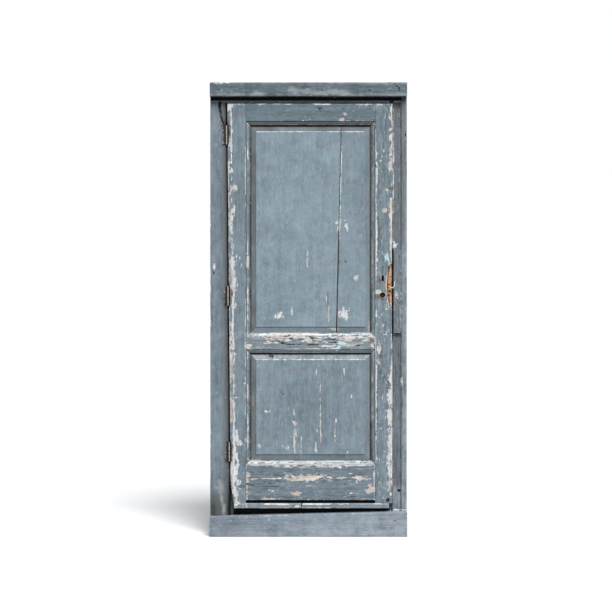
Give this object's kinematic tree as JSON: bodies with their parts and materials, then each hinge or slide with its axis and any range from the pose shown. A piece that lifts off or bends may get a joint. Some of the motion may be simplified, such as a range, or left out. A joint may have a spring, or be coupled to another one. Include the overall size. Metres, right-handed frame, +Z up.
{
  "type": "wooden door",
  "caption": "Weathered painted panel door hung in its wooden frame, with a moulded upper and lower panel, butt hinges, a worn mortise lock and a sill out of level.",
  "frame": {"origin": "on the floor under the middle of the sill, at the bottom centre of the whole object's box", "axes": "+Z up, front face of the leaf towards -Y, hinges on the -X side and lock on the +X side"},
  "size_m": [0.973, 0.15, 2.238],
  "materials": {
    "frame_paint": "worn matt paint",
    "leaf_paint": "worn matt paint",
    "bare_wood": "weathered",
    "rusty_iron": "rusty"
  },
  "bodies": {
    "frame": {"sill": "frame_paint", "hinge_jamb": "frame_paint", "latch_jamb": "frame_paint", "head_jamb": "frame_paint", "head_casing": "frame_paint", "latch_casing": "frame_paint", "strike_patch": "frame_paint", "hinge_stop": "frame_paint", "latch_stop": "frame_paint", "head_stop": "frame_paint", "sill_stop": "frame_paint", "strike_plate": "rusty_iron", "strike_screw_upper": "rusty_iron", "strike_screw_lower": "rusty_iron", "casing_nail_1": "rusty_iron", "casing_nail_2": "rusty_iron", "casing_nail_3": "rusty_iron", "casing_nail_4": "rusty_iron", "top_hinge_jamb_flap": "rusty_iron", "middle_hinge_jamb_flap": "rusty_iron", "bottom_hinge_jamb_flap": "rusty_iron", "top_hinge_pin": "rusty_iron", "middle_hinge_pin": "rusty_iron", "bottom_hinge_pin": "rusty_iron", "top_hinge_jamb_screw_upper": "rusty_iron", "top_hinge_jamb_screw_lower": "rusty_iron", "middle_hinge_jamb_screw_upper": "rusty_iron", "middle_hinge_jamb_screw_lower": "rusty_iron", "bottom_hinge_jamb_screw_upper": "rusty_iron", "bottom_hinge_jamb_screw_lower": "rusty_iron"},
    "leaf": {"hinge_stile": "leaf_paint", "lock_stile": "leaf_paint", "top_rail": "leaf_paint", "lock_rail": "leaf_paint", "bottom_rail": "leaf_paint", "upper_panel_hinge_board": "leaf_paint", "upper_panel_lock_board": "leaf_paint", "lower_panel": "leaf_paint", "foot_strip_hinge_end": "leaf_paint", "foot_strip_lock_end": "leaf_paint", "panel_tongue": "bare_wood", "top_hinge_leaf_flap": "rusty_iron", "middle_hinge_leaf_flap": "rusty_iron", "bottom_hinge_leaf_flap": "rusty_iron", "top_hinge_leaf_screw_upper": "rusty_iron", "top_hinge_leaf_screw_lower": "rusty_iron", "middle_hinge_leaf_screw_upper": "rusty_iron", "middle_hinge_leaf_screw_lower": "rusty_iron", "bottom_hinge_leaf_screw_upper": "rusty_iron", "bottom_hinge_leaf_screw_lower": "rusty_iron", "lock_case": "rusty_iron", "lock_cover": "rusty_iron", "lock_faceplate": "rusty_iron", "faceplate_screw_upper": "rusty_iron", "faceplate_screw_lower": "rusty_iron"},
    "dead_bolt": {"dead_bolt": "rusty_iron"},
    "latch_bolt": {"latch_bolt": "rusty_iron"},
    "spindle_hub": {"spindle_hub": "rusty_iron"}
  },
  "joints": [
    {"name": "leaf_swing", "type": "hinge", "parent": "frame", "child": "leaf", "pos_m": [-0.3858, -0.03265, 0], "axis": [0.0087, 0, -1], "range_deg": [0, 110]},
    {"name": "dead_bolt_throw", "type": "slide", "parent": "leaf", "child": "dead_bolt", "axis": [1, 0, 0], "range_m": [0, 0.014]},
    {"name": "spindle_turn", "type": "hinge", "parent": "leaf", "child": "spindle_hub", "pos_m": [0.3675, -0.0185, 1.1905], "axis": [0, -1, 0], "range_deg": [0, 32]},
    {"name": "latch_throw", "type": "slide", "parent": "leaf", "child": "latch_bolt", "axis": [1, 0, 0], "range_m": [0, 0.008]}
  ],
  "couplings": [
    {"joint": "spindle_turn", "follows": "latch_throw", "rad_per_m": 65.45}
  ]
}
